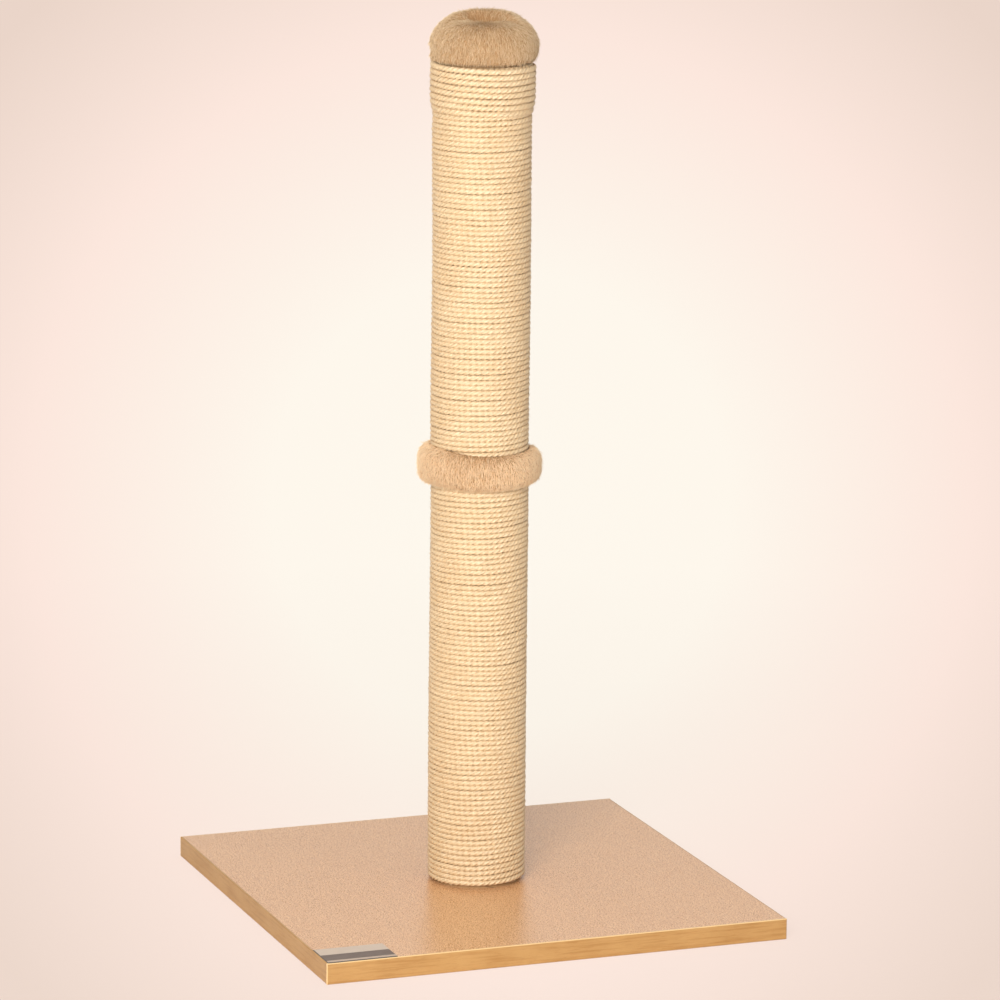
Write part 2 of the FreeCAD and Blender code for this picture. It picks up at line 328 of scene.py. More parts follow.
def band_finish(name, turn):
    """Grain along X, or turned for the side bands. On the others a thin pale line along the top edge and
    the left end is a painted highlight, as from a rounded edge catching the light.
    """
    material, tree, shader, place = new_finish(name, IOR=1.5)
    along = add(tree, "ShaderNodeMapping", {"Vector": place, "Rotation": (0, 0, turn)}).outputs[0]
    long_grain = use(tree, flecks, Vector=along, Length=50 * MM, Width=2.2 * MM, Share=0.5)
    dashes = use(tree, flecks, Vector=along, Length=9 * MM, Width=0.7 * MM, Share=0.38)
    colour = tint(tree, long_grain, paint(182, 138, 82), paint(169, 123, 67))
    colour = glaze(tree, colour, dashes, 0.5, (152, 100, 46))
    patch = use(tree, mottle, Vector=along, Patch_size=30 * MM)
    colour = glaze(tree, colour, patch, 0.25, (212, 170, 112))
    # Painted highlight: a thin pale line along the top edge and the left end of the front and back bands.
    at = split(tree, place)
    pale, gone = 0.5 * MM, 0.9 * MM
    rim = spread(tree, at["Z"], board_top - gone, board_top - pale)
    corner = spread(tree, at["X"], pale - board_half, gone - board_half, 1.0, 0.0)
    painted_edge_highlight = calc(tree, "MAXIMUM", rim, corner)
    colour = glaze(tree, colour, painted_edge_highlight, 0.75 if turn == 0 else 0.0, (246, 214, 160))
    wear(tree, shader, colour, spread(tree, dashes, 0, 1, 0.38, 0.5))
    relief(tree, shader, dashes, -0.03 * MM)
    return material


def label_finish():
    """Bare sticker: plain bands across it, none of its print, and a dark line on its left."""
    material, tree, shader, place = new_finish("bare_sticker", Roughness=0.36, IOR=1.38)
    low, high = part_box("base_label")
    at = split(tree, place)
    colour = colour_steps(tree, spread(tree, at["Y"], low.y, high.y), (
        (0.0, (52, 38, 30)), (0.05, (190, 168, 148)), (0.16, (92, 70, 56)), (0.56, (204, 186, 168)),
    ), "CONSTANT")
    patch = use(tree, mottle, Vector=place, Patch_size=12 * MM)
    colour = glaze(tree, colour, patch, 0.12, (150, 132, 122))
    line = spread(tree, at["X"], low.x + 0.9 * MM, low.x + 1.2 * MM, 1.0, 0.0)
    wear(tree, shader, tint(tree, line, colour, paint(70, 52, 46)))
    relief(tree, shader, patch, 0.1 * MM)
    return material


def wear_node(material, *nodes):
    """Gives a CAD node that stays on show its finish."""
    for node in nodes:
        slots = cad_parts[node].data.materials
        slots.clear()
        slots.append(material)
    print(material.name, "on", ", ".join(nodes))


wear_node(melamine_finish(), "base_board")
wear_node(band_finish("band_decor_long", 0), "edge_band_front", "edge_band_back")
wear_node(band_finish("band_decor_side", math.pi / 2), "edge_band_left", "edge_band_right")
wear_node(label_finish(), "base_label")

# %% [markdown]
# ## Finishes inside the post
# Tubes, plugs, discs and fasteners hardly show, but a library part can be taken apart, so they
# get their real finishes too: brown spiral-wound cardboard, raw chipboard and zinc plate.

# %% Cardboard, chipboard and zinc
def cardboard_finish():
    material, tree, shader, place = new_finish("cardboard_tube", Roughness=0.85)
    at = split(tree, place)
    ply_width, seam_share = 90 * MM, 0.012
    turn = calc(tree, "DIVIDE", calc(tree, "ARCTAN2", at["Y"], at["X"]), 2 * math.pi)
    ply = calc(tree, "FRACT", calc(tree, "ADD", calc(tree, "DIVIDE", at["Z"], ply_width), turn))
    seam = spread(tree, ply, 0.0, seam_share, 1.0, 0.0)
    fibre = use(tree, flecks, Vector=place, Length=4 * MM, Width=0.6 * MM, Share=0.5)
    colour = glaze(tree, paint(172, 138, 98), fibre, 0.5, (146, 112, 76))
    wear(tree, shader, tint(tree, seam, colour, paint(112, 84, 56)))
    relief(tree, shader, seam, -0.3 * MM)
    return material


def chipboard_finish():
    material, tree, shader, place = new_finish("raw_chipboard", Roughness=0.8)
    chips = add(tree, "ShaderNodeTexVoronoi", {"Vector": place, "Scale": 420.0})
    tone = add(tree, "ShaderNodeSeparateColor", {0: chips.outputs["Color"]}).outputs[0]
    colour = tint(tree, tone, paint(206, 172, 124), paint(158, 118, 74))
    fibre = use(tree, flecks, Vector=place, Length=3 * MM, Width=0.5 * MM, Share=0.5)
    wear(tree, shader, glaze(tree, colour, fibre, 0.4, (126, 92, 58)))
    relief(tree, shader, tone, 0.3 * MM)
    return material


def zinc_finish():
    material, tree, shader, place = new_finish("zinc_plate", Metallic=1.0)
    patch = use(tree, mottle, Vector=place, Patch_size=2 * MM)
    wear(tree, shader, tint(tree, patch, paint(196, 200, 206), paint(214, 214, 208)),
         spread(tree, patch, 0, 1, 0.3, 0.44))
    relief(tree, shader, patch, 0.03 * MM)
    return material


wear_node(cardboard_finish(), "lower_tube", "upper_tube")
wear_node(chipboard_finish(), "lower_tube_plugs", "upper_tube_plugs", "collar_disc", "cap_disc")
wear_node(zinc_finish(), "end_nuts", "joining_stud", "washers", "base_bolt", "cap_bolt")

# %% [markdown]
# ## Sisal rope
# Three-strand rope, laid left-handed, is wound tight from the board up. A picture of rope on a
# cylinder would look flat at the outline, so every turn is real: a line follows the winding, and
# Geometry Nodes sweeps a three-lobed section along it that turns once in each lay. The line is
# worked out here, because a hand-wound rope wanders a little up, down and outwards.

# %% Rope finish
def carried(tree, name, output="Fac"):
    """A value that the mesh carries under this name."""
    return add(tree, "ShaderNodeAttribute", attribute_name=name).outputs[output]


def sisal_finish():
    """Fibres run along the strands. The attribute lay holds how far along and where around."""
    material, tree, shader, place = new_finish("sisal_fibre", Roughness=0.4, IOR=2.0)
    lay = split(tree, carried(tree, "lay", "Vector"))
    where = {"Along": lay["X"], "Across": join(tree, lay["Y"], lay["Z"])}
    fibre = use(tree, streaks, Fibre_length=9 * MM, Fineness=5.0, **where)
    strand = use(tree, streaks, Fibre_length=40 * MM, Fineness=0.9, **where)
    patch = use(tree, mottle, Vector=place, Patch_size=45 * MM)
    colour = tint(tree, patch, paint(243, 220, 179), paint(235, 207, 162))
    colour = glaze(tree, colour, strand, 0.5, (251, 235, 202))
    colour = glaze(tree, colour, fibre, 0.5, (216, 174, 122))
    # Painted shade: darker in the grooves between strands and where neighbouring turns meet.
    colour = glaze(tree, colour, carried(tree, "recess_shade"), 0.4, (192, 144, 90))

    # Painted shade: the foot of the lowest turn, where it meets the board, is darkened to a deep brown.
    darkest_level, shade_end_level = lower_foot + 1.9 * MM, lower_foot + 3.2 * MM
    foot = spread(tree, split(tree, place)["Z"], darkest_level, shade_end_level, 1.0, 0.0)
    wear(tree, shader, glaze(tree, colour, foot, 0.95, (78, 50, 28)))
    relief(tree, shader, fibre, 0.3 * MM)
    return material


sisal = sisal_finish()
print("finish:", sisal.name)

# %% Rope tree
INT, MATERIAL, GEOMETRY = "NodeSocketInt", "NodeSocketMaterial", "NodeSocketGeometry"


def keep(tree, geometry, kind, value, label):
    """Captures a value on the geometry and returns the new geometry and the captured value."""
    node = add(tree, "GeometryNodeCaptureAttribute")
    node.capture_items.new(kind, label)
    tree.links.new(geometry, node.inputs[0])
    tree.links.new(value, node.inputs[1])
    return node.outputs[0], node.outputs[1]


def store(tree, geometry, kind, name, value, domain="POINT"):
    """Stores a value on the geometry under a name, for a material or for the bake map."""
    inputs = {"Geometry": geometry, "Name": name, "Value": value}
    return add(tree, "GeometryNodeStoreNamedAttribute", inputs, data_type=kind, domain=domain).outputs[0]


def of_face(tree, value):
    """Mean of a point value over each face, at all corners of that face."""
    node = add(tree, "GeometryNodeFieldOnDomain", {0: value}, data_type="FLOAT", domain="FACE")
    return node.outputs[0]


def row_map(tree, turns, around, rows):
    """Texture map of a winding with one row for each turn, so that no two faces share a place."""
    row = calc(tree, "FLOOR", of_face(tree, turns))
    apart = calc(tree, "SUBTRACT", of_face(tree, around), around)
    wrapped = calc(tree, "GREATER_THAN", apart, 0.25)
    share = spread(tree, calc(tree, "ADD", around, wrapped), 0.0, 1.0, 0.03, 0.97)
    up = calc(tree, "DIVIDE", calc(tree, "ADD", row, share), rows)
    return join(tree, calc(tree, "SUBTRACT", turns, row), up)


def finished(tree, geometry, material):
    """The tree's last steps: smooth shading, real geometry in place of instances, and material."""
    smoothed = add(tree, "GeometryNodeSetShadeSmooth", {0: geometry}).outputs[0]
    real = add(tree, "GeometryNodeRealizeInstances", {0: smoothed}).outputs[0]
    return add(tree, "GeometryNodeSetMaterial", {0: real, "Material": material}).outputs[0]


def rope_section(tree, values, rope_radius):
    """Section with a lobe for each strand, a mask of its grooves for painted shade, and each point's share
    of the way round.

    One lobe is an arc of a circle that sits off the middle of the rope. Three equal strands that
    touch have 0.464 of the rope's radius each.
    """
    sides = calc(tree, "MULTIPLY", values["Strands"], values["Points per strand"])
    circle = add(tree, "GeometryNodeCurvePrimitiveCircle", {"Resolution": sides, "Radius": 1.0}).outputs[0]
    share = add(tree, "GeometryNodeSplineParameter").outputs["Factor"]
    lobe = calc(tree, "FRACT", calc(tree, "MULTIPLY", share, values["Strands"]))
    swing = calc(tree, "MULTIPLY", calc(tree, "SUBTRACT", lobe, 0.5), 2 * math.pi / 3)
    strand_share = 0.464
    strand_radius = calc(tree, "MULTIPLY", rope_radius, strand_share)
    away = calc(tree, "MULTIPLY", rope_radius, 1 - strand_share)
    sideways = calc(tree, "MULTIPLY", away, calc(tree, "SINE", swing))
    outwards = calc(tree, "MULTIPLY", away, calc(tree, "COSINE", swing))
    squares = (calc(tree, "POWER", length, 2.0) for length in (strand_radius, sideways))
    bulge = calc(tree, "SQRT", calc(tree, "MAXIMUM", calc(tree, "SUBTRACT", *squares), 0.0))
    groove_radius = calc(tree, "MULTIPLY", rope_radius, values["Groove level"])
    lobe_radius = calc(tree, "MAXIMUM", calc(tree, "ADD", outwards, bulge), groove_radius)
    height = calc(tree, "DIVIDE", lobe_radius, rope_radius)
    circle, recess_shade = keep(tree, circle, "FLOAT", spread(tree, height, 0.6, 0.9, 1.0, 0.0), "Groove")
    circle, around = keep(tree, circle, "FLOAT", share, "Around")
    place = add(tree, "GeometryNodeInputPosition").outputs[0]
    lobed = {0: circle, "Position": scaled(tree, place, lobe_radius)}
    return add(tree, "GeometryNodeSetPosition", lobed).outputs[0], recess_shade, around


def rope_tree():
    tree, source, result = new_tree(
        "Laid rope", "GeometryNodeTree",
        [("Geometry", GEOMETRY, None), ("Lay length", FLOAT, 18 * MM), ("Strands", INT, 3),
         ("Points per strand", INT, 5), ("Thickness", FLOAT, rope_thickness),
         ("Groove level", FLOAT, 0.66), ("Squash", FLOAT, rope_squash),
         ("Unevenness", FLOAT, 0.34 * MM), ("Steps per turn", FLOAT, 120.0), ("Rows", FLOAT, 42.0),
         ("Material", MATERIAL, None)],
        [("Geometry", GEOMETRY)],
    )
    values = source.outputs
    line = add(tree, "GeometryNodeMeshToCurve", {0: values["Geometry"]}).outputs[0]
    line = add(tree, "GeometryNodeSetCurveNormal", {0: line}, mode="Z_UP").outputs[0]
    length = add(tree, "GeometryNodeSplineParameter").outputs["Length"]
    turn = calc(tree, "DIVIDE", calc(tree, "MULTIPLY", length, 2 * math.pi), values["Lay length"])
    line = add(tree, "GeometryNodeSetCurveTilt", {"Curve": line, "Tilt": turn}).outputs[0]
    place = add(tree, "GeometryNodeInputPosition").outputs[0]
    turns = calc(tree, "DIVIDE", add(tree, "GeometryNodeInputIndex").outputs[0], values["Steps per turn"])
    line, length = keep(tree, line, "FLOAT", length, "Along")
    line, middle = keep(tree, line, "VECTOR", place, "Middle")
    line, turns = keep(tree, line, "FLOAT", turns, "Turns")
    rope_radius = calc(tree, "MULTIPLY", values["Thickness"], 0.5)
    section, recess_shade, around = rope_section(tree, values, rope_radius)
    sweep = {0: line, 1: section, "Fill Caps": True}
    swept = add(tree, "GeometryNodeCurveToMesh", sweep).outputs[0]

    # Wound tight, the turns press each other flat where they meet, and no strand is quite even.
    place = add(tree, "GeometryNodeInputPosition").outputs[0]
    from_middle = vector_calc(tree, "SUBTRACT", place, middle)
    pressed = vector_calc(tree, "MULTIPLY", from_middle, join(tree, 1.0, 1.0, values["Squash"]))
    lumps = noise(tree, place, 520.0, 1.0)["Color"]
    lumps = vector_calc(tree, "SUBTRACT", lumps, (0.5, 0.5, 0.5))
    noise_gain = 4.0
    lumps = scaled(tree, scaled(tree, lumps, values["Unevenness"]), noise_gain)
    moved = vector_calc(tree, "ADD", vector_calc(tree, "ADD", middle, pressed), lumps)
    swept = add(tree, "GeometryNodeSetPosition", {0: swept, "Position": moved}).outputs[0]

    # The finish reads how far along and where around a point lies, and a mask of painted shade for the
    # grooves between strands and where neighbouring turns meet.
    angle = calc(tree, "MULTIPLY", around, 2 * math.pi)
    lay = join(tree, length, calc(tree, "COSINE", angle), calc(tree, "SINE", angle))
    # Painted shade: the top and bottom of each turn, where it meets its neighbours, are marked for
    # darkening, as are the grooves.
    rise = calc(tree, "ABSOLUTE", split(tree, from_middle)["Z"])
    turn_contact_shade = spread(tree, calc(tree, "DIVIDE", rise, rope_radius), 0.75, 1.1)
    strand_and_turn_shade = calc(tree, "MAXIMUM", calc(tree, "MULTIPLY", recess_shade, 0.5), turn_contact_shade)
    bake = row_map(tree, turns, around, values["Rows"])
    swept = store(tree, swept, "FLOAT_VECTOR", "lay", lay)
    swept = store(tree, swept, "FLOAT", "recess_shade", strand_and_turn_shade)
    swept = store(tree, swept, "FLOAT2", "OFBake", bake, domain="CORNER")
    tree.links.new(finished(tree, swept, values["Material"]), result.inputs[0])
    return tree


def grow(name, mesh, tree, **sizes):
    """Runs a Geometry Nodes tree on a mesh and returns what it makes as a plain mesh object."""
    maker = show(name + "_maker", mesh)
    modifier = maker.modifiers.new(tree.name, "NODES")
    modifier.node_group = tree
    for item in tree.interface.items_tree:
        key = item.name.replace(" ", "_")
        if item.in_out == "INPUT" and key in sizes:
            modifier[item.identifier] = sizes[key]
    made = bpy.data.meshes.new_from_object(evaluated(maker))
    made.name = name
    bpy.data.objects.remove(maker)
    piece = show(name, made)
    triangles = sum(len(face.vertices) - 2 for face in made.polygons)
    print(name, "has", triangles, "triangles")
    return piece


laid_rope = rope_tree()
print("tree:", laid_rope.name)

# %% Rope windings
STEPS_PER_TURN = 120
lay_length = -18 * MM
held_length = 14 * MM


def smooth(value):
    """0 below 0, 1 above 1, and a soft step between."""
    value = np.clip(value, 0, 1)
    return value * value * (3 - 2 * value)


def wander(steps, reach, size, seed):
    """Smooth random drift along a rope: a new aim every so many steps, and no more than size."""
    aims = np.random.default_rng(seed).uniform(-size, size, steps // reach + 4)
    at = np.arange(steps) / reach
    k = at.astype(int)
    f = smooth(at - k)
    return aims[k] * (1 - f) + aims[k + 1] * f


def ripple(angle, height, size, seed):
    """Drift that neighbouring turns share: waves round the post that change slowly up it."""
    luck = np.random.default_rng(seed)
    total = 0.0
    for waves_round, weight in ((1, 0.5), (2, 0.3), (3, 0.2), (5, 0.12)):
        slowness = luck.uniform(30 * MM, 90 * MM)
        phase = luck.uniform(0, 2 * math.pi)
        total = total + weight * np.sin(waves_round * angle + height / slowness + phase)
    return size * total


def turned(radius, angle, level):
    """Points at these distances from the post's axis, angles round it and levels."""
    parts = (radius * np.cos(angle), radius * np.sin(angle), level)
    return np.stack(np.broadcast_arrays(*parts), -1).reshape(-1, 3)


def winding(radii, heights, seed):
    """Points of a rope's centre line, from the side away from the eye. Its ends stay level."""
    steps = len(heights)
    angle = away_angle + np.arange(steps) * 2 * math.pi / STEPS_PER_TURN
    from_start, from_end = (np.abs(heights - heights[k]) / held_length for k in (0, -1))
    radius = radii + wander(steps, 37, 0.22 * MM, seed) + ripple(angle, heights, 0.5 * MM, seed + 1)
    drift = wander(steps, 53, 0.3 * MM, seed + 2) + ripple(angle, heights, 1.2 * MM, seed + 3)
    return turned(radius, angle, heights + drift * smooth(from_start) * smooth(from_end))


def rope_piece(name, points, node, squash=rope_squash):
    line = bpy.data.meshes.new(name + "_line")
    line.from_pydata(points.tolist(), [(k, k + 1) for k in range(len(points) - 1)], [])
    rows = float(math.ceil(len(points) / STEPS_PER_TURN))
    piece = grow(name, line, laid_rope, Lay_length=lay_length, Thickness=rope_thickness, Squash=squash,
                 Steps_per_turn=float(STEPS_PER_TURN), Rows=rows, Material=sisal)
    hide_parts(node)
    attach(piece, "root")


half_rope = rope_thickness / 2
half_turn = half_rope * rope_squash
first_layer = tube_radius + half_rope


def wind_tube(side, low, high, seed):
    """A tube's first layer from low to high, with as many turns as fit, made in two pieces."""
    turns = round((high - low) / rope_pitch)
    steps = turns * STEPS_PER_TURN
    line = winding(np.full(steps, first_layer), np.linspace(low, high, steps), seed)
    cut = steps // 2
    rope_piece(side + "_rope_foot", line[:cut + 1], side + "_rope")
    rope_piece(side + "_rope_head", line[cut:], side + "_rope")
    print(side, "winding:", turns, "turns,", round(turns * 2 * math.pi * first_layer, 1), "m of rope")


lower_low, lower_high = lower_foot + half_turn + 0.7 * MM, lower_head - half_turn
wind_tube("lower", lower_low, lower_high, seed=3)

# %% Upper winding and the second layer
overwrap_turns = 8
overwrap_pitch = 6.2 * MM
overwrap_squash = 1.3
overwrap_rise = 3.4 * MM
climb_turns, sink_turns, sink_share = 0.3, 2.2, 0.75
upper_low, upper_high = upper_foot + half_turn, upper_head - half_turn
wind_tube("upper", upper_low, upper_high, seed=11)

# At the top the rope climbs onto the first layer and goes back down over it, and its end sinks in.
turns = np.arange(0, overwrap_turns, 1 / STEPS_PER_TURN)
climb = smooth(turns / climb_turns)
sunk = smooth((turns - overwrap_turns + sink_turns) / sink_turns)
stand_out = overwrap_rise * climb * (1 - sink_share * sunk)
back_line = winding(first_layer + stand_out, upper_high - overwrap_pitch * turns, seed=17)
rope_piece("upper_rope_overwrap", back_line, "upper_rope", overwrap_squash)
print("second layer:", overwrap_turns, "turns wound back over the upper winding")

# %% [markdown]
# ## Plush collar and cap
# Both are a cloth cover with a short pile, drawn over foam. Each starts as a ring or dome of
# rings of points. A short cloth simulation with air pressure inside then puffs it up between the
# places where it is held. The cloth is cut 4 % too large, as a sewn cover is, so it fills out a
# little unevenly, and a limit on how far a point may move keeps it in its place. Then it gets a
# thickness, so that it is closed.

# %% Puffing up a cover
TINY = 1e-9
last_frame = 20
air_pressure = 20.0
cut_too_large = 0.04
puff_reach = 1.3 * MM


def puffed(points, faces, held):
    """Simulates cloth under pressure, held where held is 1. No point moves beyond puff_reach."""
    start = np.array(points, float)
    mesh = bpy.data.meshes.new("cloth_cover")
    mesh.from_pydata(start.tolist(), [], faces)
    cover = show("cloth_cover", mesh)
    pins = cover.vertex_groups.new(name="held")
    for k in np.flatnonzero(held > 0):
        pins.add([int(k)], float(held[k]), "REPLACE")
    cloth = cover.modifiers.new("Cloth", "CLOTH").settings
    cloth.vertex_group_mass = "held"
    cloth.mass = 0.001
    cloth.use_pressure = True
    cloth.uniform_pressure_force = air_pressure
    cloth.tension_stiffness = cloth.compression_stiffness = 5.0
    cloth.shear_stiffness, cloth.bending_stiffness = 2.0, 0.05
    cloth.shrink_min = -cut_too_large
    cloth.effector_weights.gravity = 0.0
    for number in range(1, last_frame + 1):
        scene.frame_set(number)
    moved = np.array([v.co for v in evaluated(cover).data.vertices], float) - start
    scene.frame_set(1)
    bpy.data.objects.remove(cover)
    size = np.linalg.norm(moved, axis=1)
    soft_stop = puff_reach * np.tanh(size / puff_reach) / np.maximum(size, TINY)
    print("puffed by up to", round(float((size * soft_stop).max()) / MM, 2), "mm")
    return start + moved * soft_stop[:, None]


def ring_faces(rings, sides, pole=False):
    """Quads between rings of points that follow one another, and a fan to a pole at the end."""
    around = [(k, (k + 1) % sides) for k in range(sides)]
    faces = [(low + k, low + after, low + sides + after, low + sides + k)
             for low in range(0, (rings - 1) * sides, sides) for k, after in around]
    if pole:
        last, tip = (rings - 1) * sides, rings * sides
        faces += [(last + k, last + after, tip) for k, after in around]
    return faces


def smooth_mesh(name, points, faces):
    mesh = bpy.data.meshes.new(name)
    mesh.from_pydata(points.tolist(), [], faces)
    for face in mesh.polygons:
        face.use_smooth = True
    return mesh


def cover_mesh(name, points, faces, comb, cover):
    """Mesh that carries the pile's two attributes: its direction and where it grows."""
    mesh = smooth_mesh(name, points, faces)
    directions = mesh.attributes.new("comb", "FLOAT_VECTOR", "POINT")
    directions.data.foreach_set("vector", comb.astype(np.float32).ravel())
    share = mesh.attributes.new("cover", "FLOAT", "POINT")
    share.data.foreach_set("value", cover.astype(np.float32))
    return mesh


def downward(points, rings):
    """Comb direction at each point: along the cloth towards the ring before."""
    steps = np.gradient(points.reshape(rings, SIDES, 3), axis=0)
    lengths = np.maximum(np.linalg.norm(steps, axis=-1, keepdims=True), TINY)
    return -(steps / lengths).reshape(-1, 3)


def waves(angles, sizes, seed):
    """Uneven hand-made wobble round a ring: a few waves of given sizes with random phases."""
    phases = np.random.default_rng(seed).uniform(0, 2 * math.pi, len(sizes))
    return sum(size * np.cos((k + 1) * angles + phases[k]) for k, size in enumerate(sizes))


SIDES = 168
angles = np.arange(SIDES) * 2 * math.pi / SIDES
pile_depth = 2.4 * MM
puff = 0.9 * MM
print("covers have", SIDES, "sides")

# %% Pile and cover finishes
def plush_finish():
    """The woven backing between the hairs, with lighter specks."""
    material, tree, shader, place = new_finish("plush_backing", Roughness=0.9)
    patch = use(tree, mottle, Vector=place, Patch_size=8 * MM)
    fibre = use(tree, flecks, Vector=place, Length=0.9 * MM, Width=0.9 * MM, Share=0.6)
    colour = tint(tree, patch, paint(184, 140, 94), paint(166, 122, 78))
    wear(tree, shader, glaze(tree, colour, fibre, 0.4, (206, 164, 116)))
    relief(tree, shader, fibre, 0.6 * MM)
    return material


def pile_finish(name, darker, lighter):
    """Hair colour from root to tip, each between a darker and a lighter hair's. The roots are darker than
    the tips as painted shade among the hairs.
    """
    material, tree, shader = new_finish(name, Roughness=0.6, IOR=1.42)[:3]
    tip = carried(tree, "tip")
    dark, light = (tint(tree, tip, paint(*root), paint(*end)) for root, end in (darker, lighter))
    wear(tree, shader, tint(tree, carried(tree, "shade"), dark, light))
    return material


plush_back = plush_finish()
# Painted light: the collar's pile is the same plush as the cap's, given lighter colours for the stronger
# light it gets from the front.
collar_hair_painted_light = pile_finish("collar_pile", ((232, 190, 144), (246, 214, 172)),
                          ((246, 211, 168), (255, 242, 214)))
cap_hair = pile_finish("cap_pile", ((176, 136, 92), (226, 194, 152)),
                       ((208, 170, 124), (255, 240, 208)))
print("finishes:", plush_back.name, collar_hair_painted_light.name, cap_hair.name)

# %% [markdown]
# ## Pile
# Thousands of hairs are a job for Geometry Nodes. One curved, tapered three-sided hair is made
# from a curve, put on scattered points of the cover and leaned over along the comb direction.
# A noise leans neighbours the same way, so that they gather into the small locks that plush
# shows. The same tree puts the stray fibres on the rope.

# %% Hair tree
SHADES = 48


def read(tree, name, kind="FLOAT"):
    """A value that the geometry carries under this name."""
    return add(tree, "GeometryNodeInputNamedAttribute", {"Name": name}, data_type=kind).outputs[0]


def hair_curve(tree, values):
    """One hair that grows along Z and bends towards X, with its share of the length captured."""
    length = values["Hair length"]
    ends = {"Start": (0.0, -0.1), "Middle": (0.0, 0.5), "End": (values["Droop"], 0.85)}
    points = {"Resolution": values["Pieces along"]}
    for name, (sideways, up) in ends.items():
        points[name] = join(tree, calc(tree, "MULTIPLY", length, sideways),
                            z=calc(tree, "MULTIPLY", length, up))
    hair = add(tree, "GeometryNodeCurveQuadraticBezier", points).outputs[0]
    share = add(tree, "GeometryNodeSplineParameter").outputs["Factor"]
    return keep(tree, hair, "FLOAT", share, "Tip")


def hair_way(tree, values, roots, lock, comb):
    """The way a hair points: up from the cloth, along the comb, with its lock, and a bit astray."""
    to_side = vector_calc(tree, "SUBTRACT", lock["Color"], (0.5, 0.5, 0.5))
    stray = add(tree, "FunctionNodeRandomValue", {
        0: (-1.0, -1.0, -1.0), 1: (1.0, 1.0, 1.0), "Seed": values["Seed"],
    }, data_type="FLOAT_VECTOR").outputs[0]
    pulls = ((roots.outputs["Normal"], values["Lift"]), (comb, calc(tree, "SUBTRACT", 1.0, values["Lift"])),
             (to_side, calc(tree, "MULTIPLY", values["Clumping"], 2.0)), (stray, values["Scatter"]))
    way = (0.0, 0.0, 0.0)
    for pull, weight in pulls:
        way = vector_calc(tree, "ADD", way, scaled(tree, pull, weight))
    way = vector_calc(tree, "NORMALIZE", way)
    axes = {"primary_axis": "Z", "secondary_axis": "X"}
    return add(tree, "FunctionNodeAxesToRotation", {0: way, 1: comb}, **axes).outputs[0]


def hair_tree():
    tree, source, result = new_tree(
        "Hairs", "GeometryNodeTree",
        [("Geometry", GEOMETRY, None), ("Hairs per square metre", FLOAT, 600000.0),
         ("Hair length", FLOAT, 6.5 * MM), ("Hair width", FLOAT, 0.9 * MM), ("Lift", FLOAT, 0.4),
         ("Scatter", FLOAT, 0.3), ("Clumping", FLOAT, 0.6), ("Clump size", FLOAT, 6 * MM),
         ("Droop", FLOAT, 0.4), ("Pieces along", INT, 2), ("Seed", INT, 1), ("Material", MATERIAL, None)],
        [("Geometry", GEOMETRY)],
    )
    values = source.outputs
    cover, comb = read(tree, "cover"), read(tree, "comb", "FLOAT_VECTOR")
    density = calc(tree, "MULTIPLY", cover, values["Hairs per square metre"])
    roots = add(tree, "GeometryNodeDistributePointsOnFaces", {
        "Mesh": values["Geometry"], "Density": density, "Seed": values["Seed"],
    })
    place = add(tree, "GeometryNodeInputPosition").outputs[0]
    clump_scale = calc(tree, "DIVIDE", 1.0, values["Clump size"])
    lock = noise(tree, place, clump_scale, 1.0)

    hair, tip = hair_curve(tree, values)
    width = calc(tree, "MULTIPLY", values["Hair width"], 0.5)
    section = add(tree, "GeometryNodeCurvePrimitiveCircle", {"Resolution": 3, "Radius": width}).outputs[0]
    share = add(tree, "GeometryNodeSplineParameter").outputs["Factor"]
    section, side = keep(tree, section, "FLOAT", share, "Side")
    taper = calc(tree, "SUBTRACT", 1.0, calc(tree, "MULTIPLY", tip, 0.9))
    sweep = {0: hair, 1: section, "Scale": taper, "Fill Caps": True}
    hair = add(tree, "GeometryNodeCurveToMesh", sweep).outputs[0]
    hair = store(tree, hair, "FLOAT", "tip", tip)
    hair = store(tree, hair, "FLOAT", "side", side)

    size = add(tree, "FunctionNodeRandomValue", {2: 0.6, 3: 1.2, "Seed": values["Seed"]}).outputs[1]
    size = calc(tree, "MULTIPLY", size, spread(tree, cover, 0.0, 1.0, 0.4, 1.0))
    coat = add(tree, "GeometryNodeInstanceOnPoints", {
        "Points": roots.outputs["Points"], "Instance": hair,
        "Rotation": hair_way(tree, values, roots, lock, comb), "Scale": size,
    }).outputs[0]

    # Each hair has one of a few shades. The bake map has a column for each shade.
    luck = add(tree, "FunctionNodeRandomValue", {2: 0.0, 3: 1.0, "Seed": values["Seed"]}).outputs[1]
    of_lock = spread(tree, lock[0], NOISE_LOW, NOISE_HIGH)
    mixed = calc(tree, "ADD", calc(tree, "MULTIPLY", luck, 0.6), calc(tree, "MULTIPLY", of_lock, 0.39))
    column = calc(tree, "FLOOR", calc(tree, "MULTIPLY", mixed, float(SHADES)))
    shade = calc(tree, "DIVIDE", column, float(SHADES))
    coat = store(tree, coat, "FLOAT", "shade", shade, domain="INSTANCE")
    coat = add(tree, "GeometryNodeRealizeInstances", {0: coat}).outputs[0]
    in_column = spread(tree, read(tree, "side"), 0.0, 1.0, 0.2 / SHADES, 0.8 / SHADES)
    up = spread(tree, read(tree, "tip"), 0.0, 1.0, 0.02, 0.98)
    bake = join(tree, calc(tree, "ADD", read(tree, "shade"), in_column), up)
    coat = store(tree, coat, "FLOAT2", "OFBake", bake, domain="CORNER")
    tree.links.new(finished(tree, coat, values["Material"]), result.inputs[0])
    return tree


hairs = hair_tree()
print("tree:", hairs.name)


